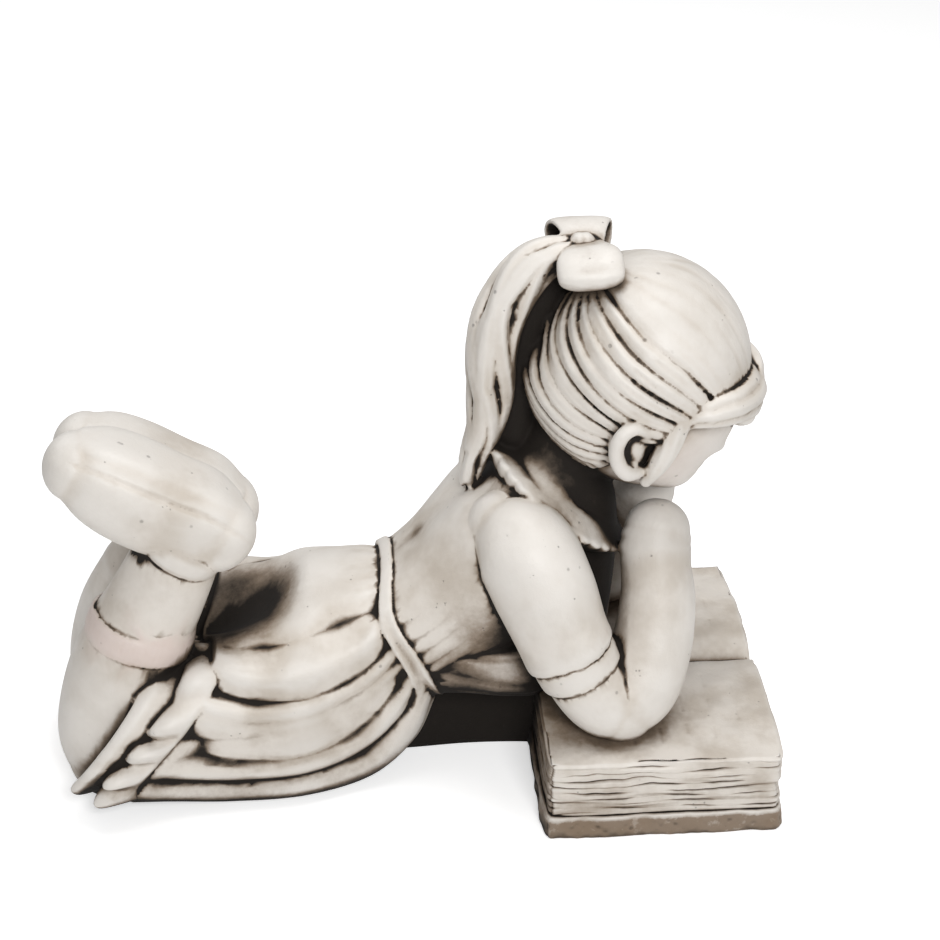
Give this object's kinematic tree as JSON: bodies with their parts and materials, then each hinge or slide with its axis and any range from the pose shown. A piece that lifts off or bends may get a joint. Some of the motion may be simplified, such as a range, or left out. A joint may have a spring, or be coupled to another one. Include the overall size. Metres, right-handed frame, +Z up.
{
  "type": "reading girl garden statue",
  "caption": "Cast-stone garden statue of a girl who lies on her front, chin on her fists, and reads an open book.",
  "frame": {"origin": "centre of the footprint's bounding box, on the ground plane the statue stands on", "axes": "+X from her feet towards the book, -Y the girl's right side, +Z up"},
  "size_m": [0.4484, 0.228, 0.3524],
  "materials": {
    "cast_stone": "matt cream cast stone with a brown-black patina in the hollows"
  },
  "bodies": {
    "root": {"reading_girl": "cast_stone"}
  },
  "joints": []
}
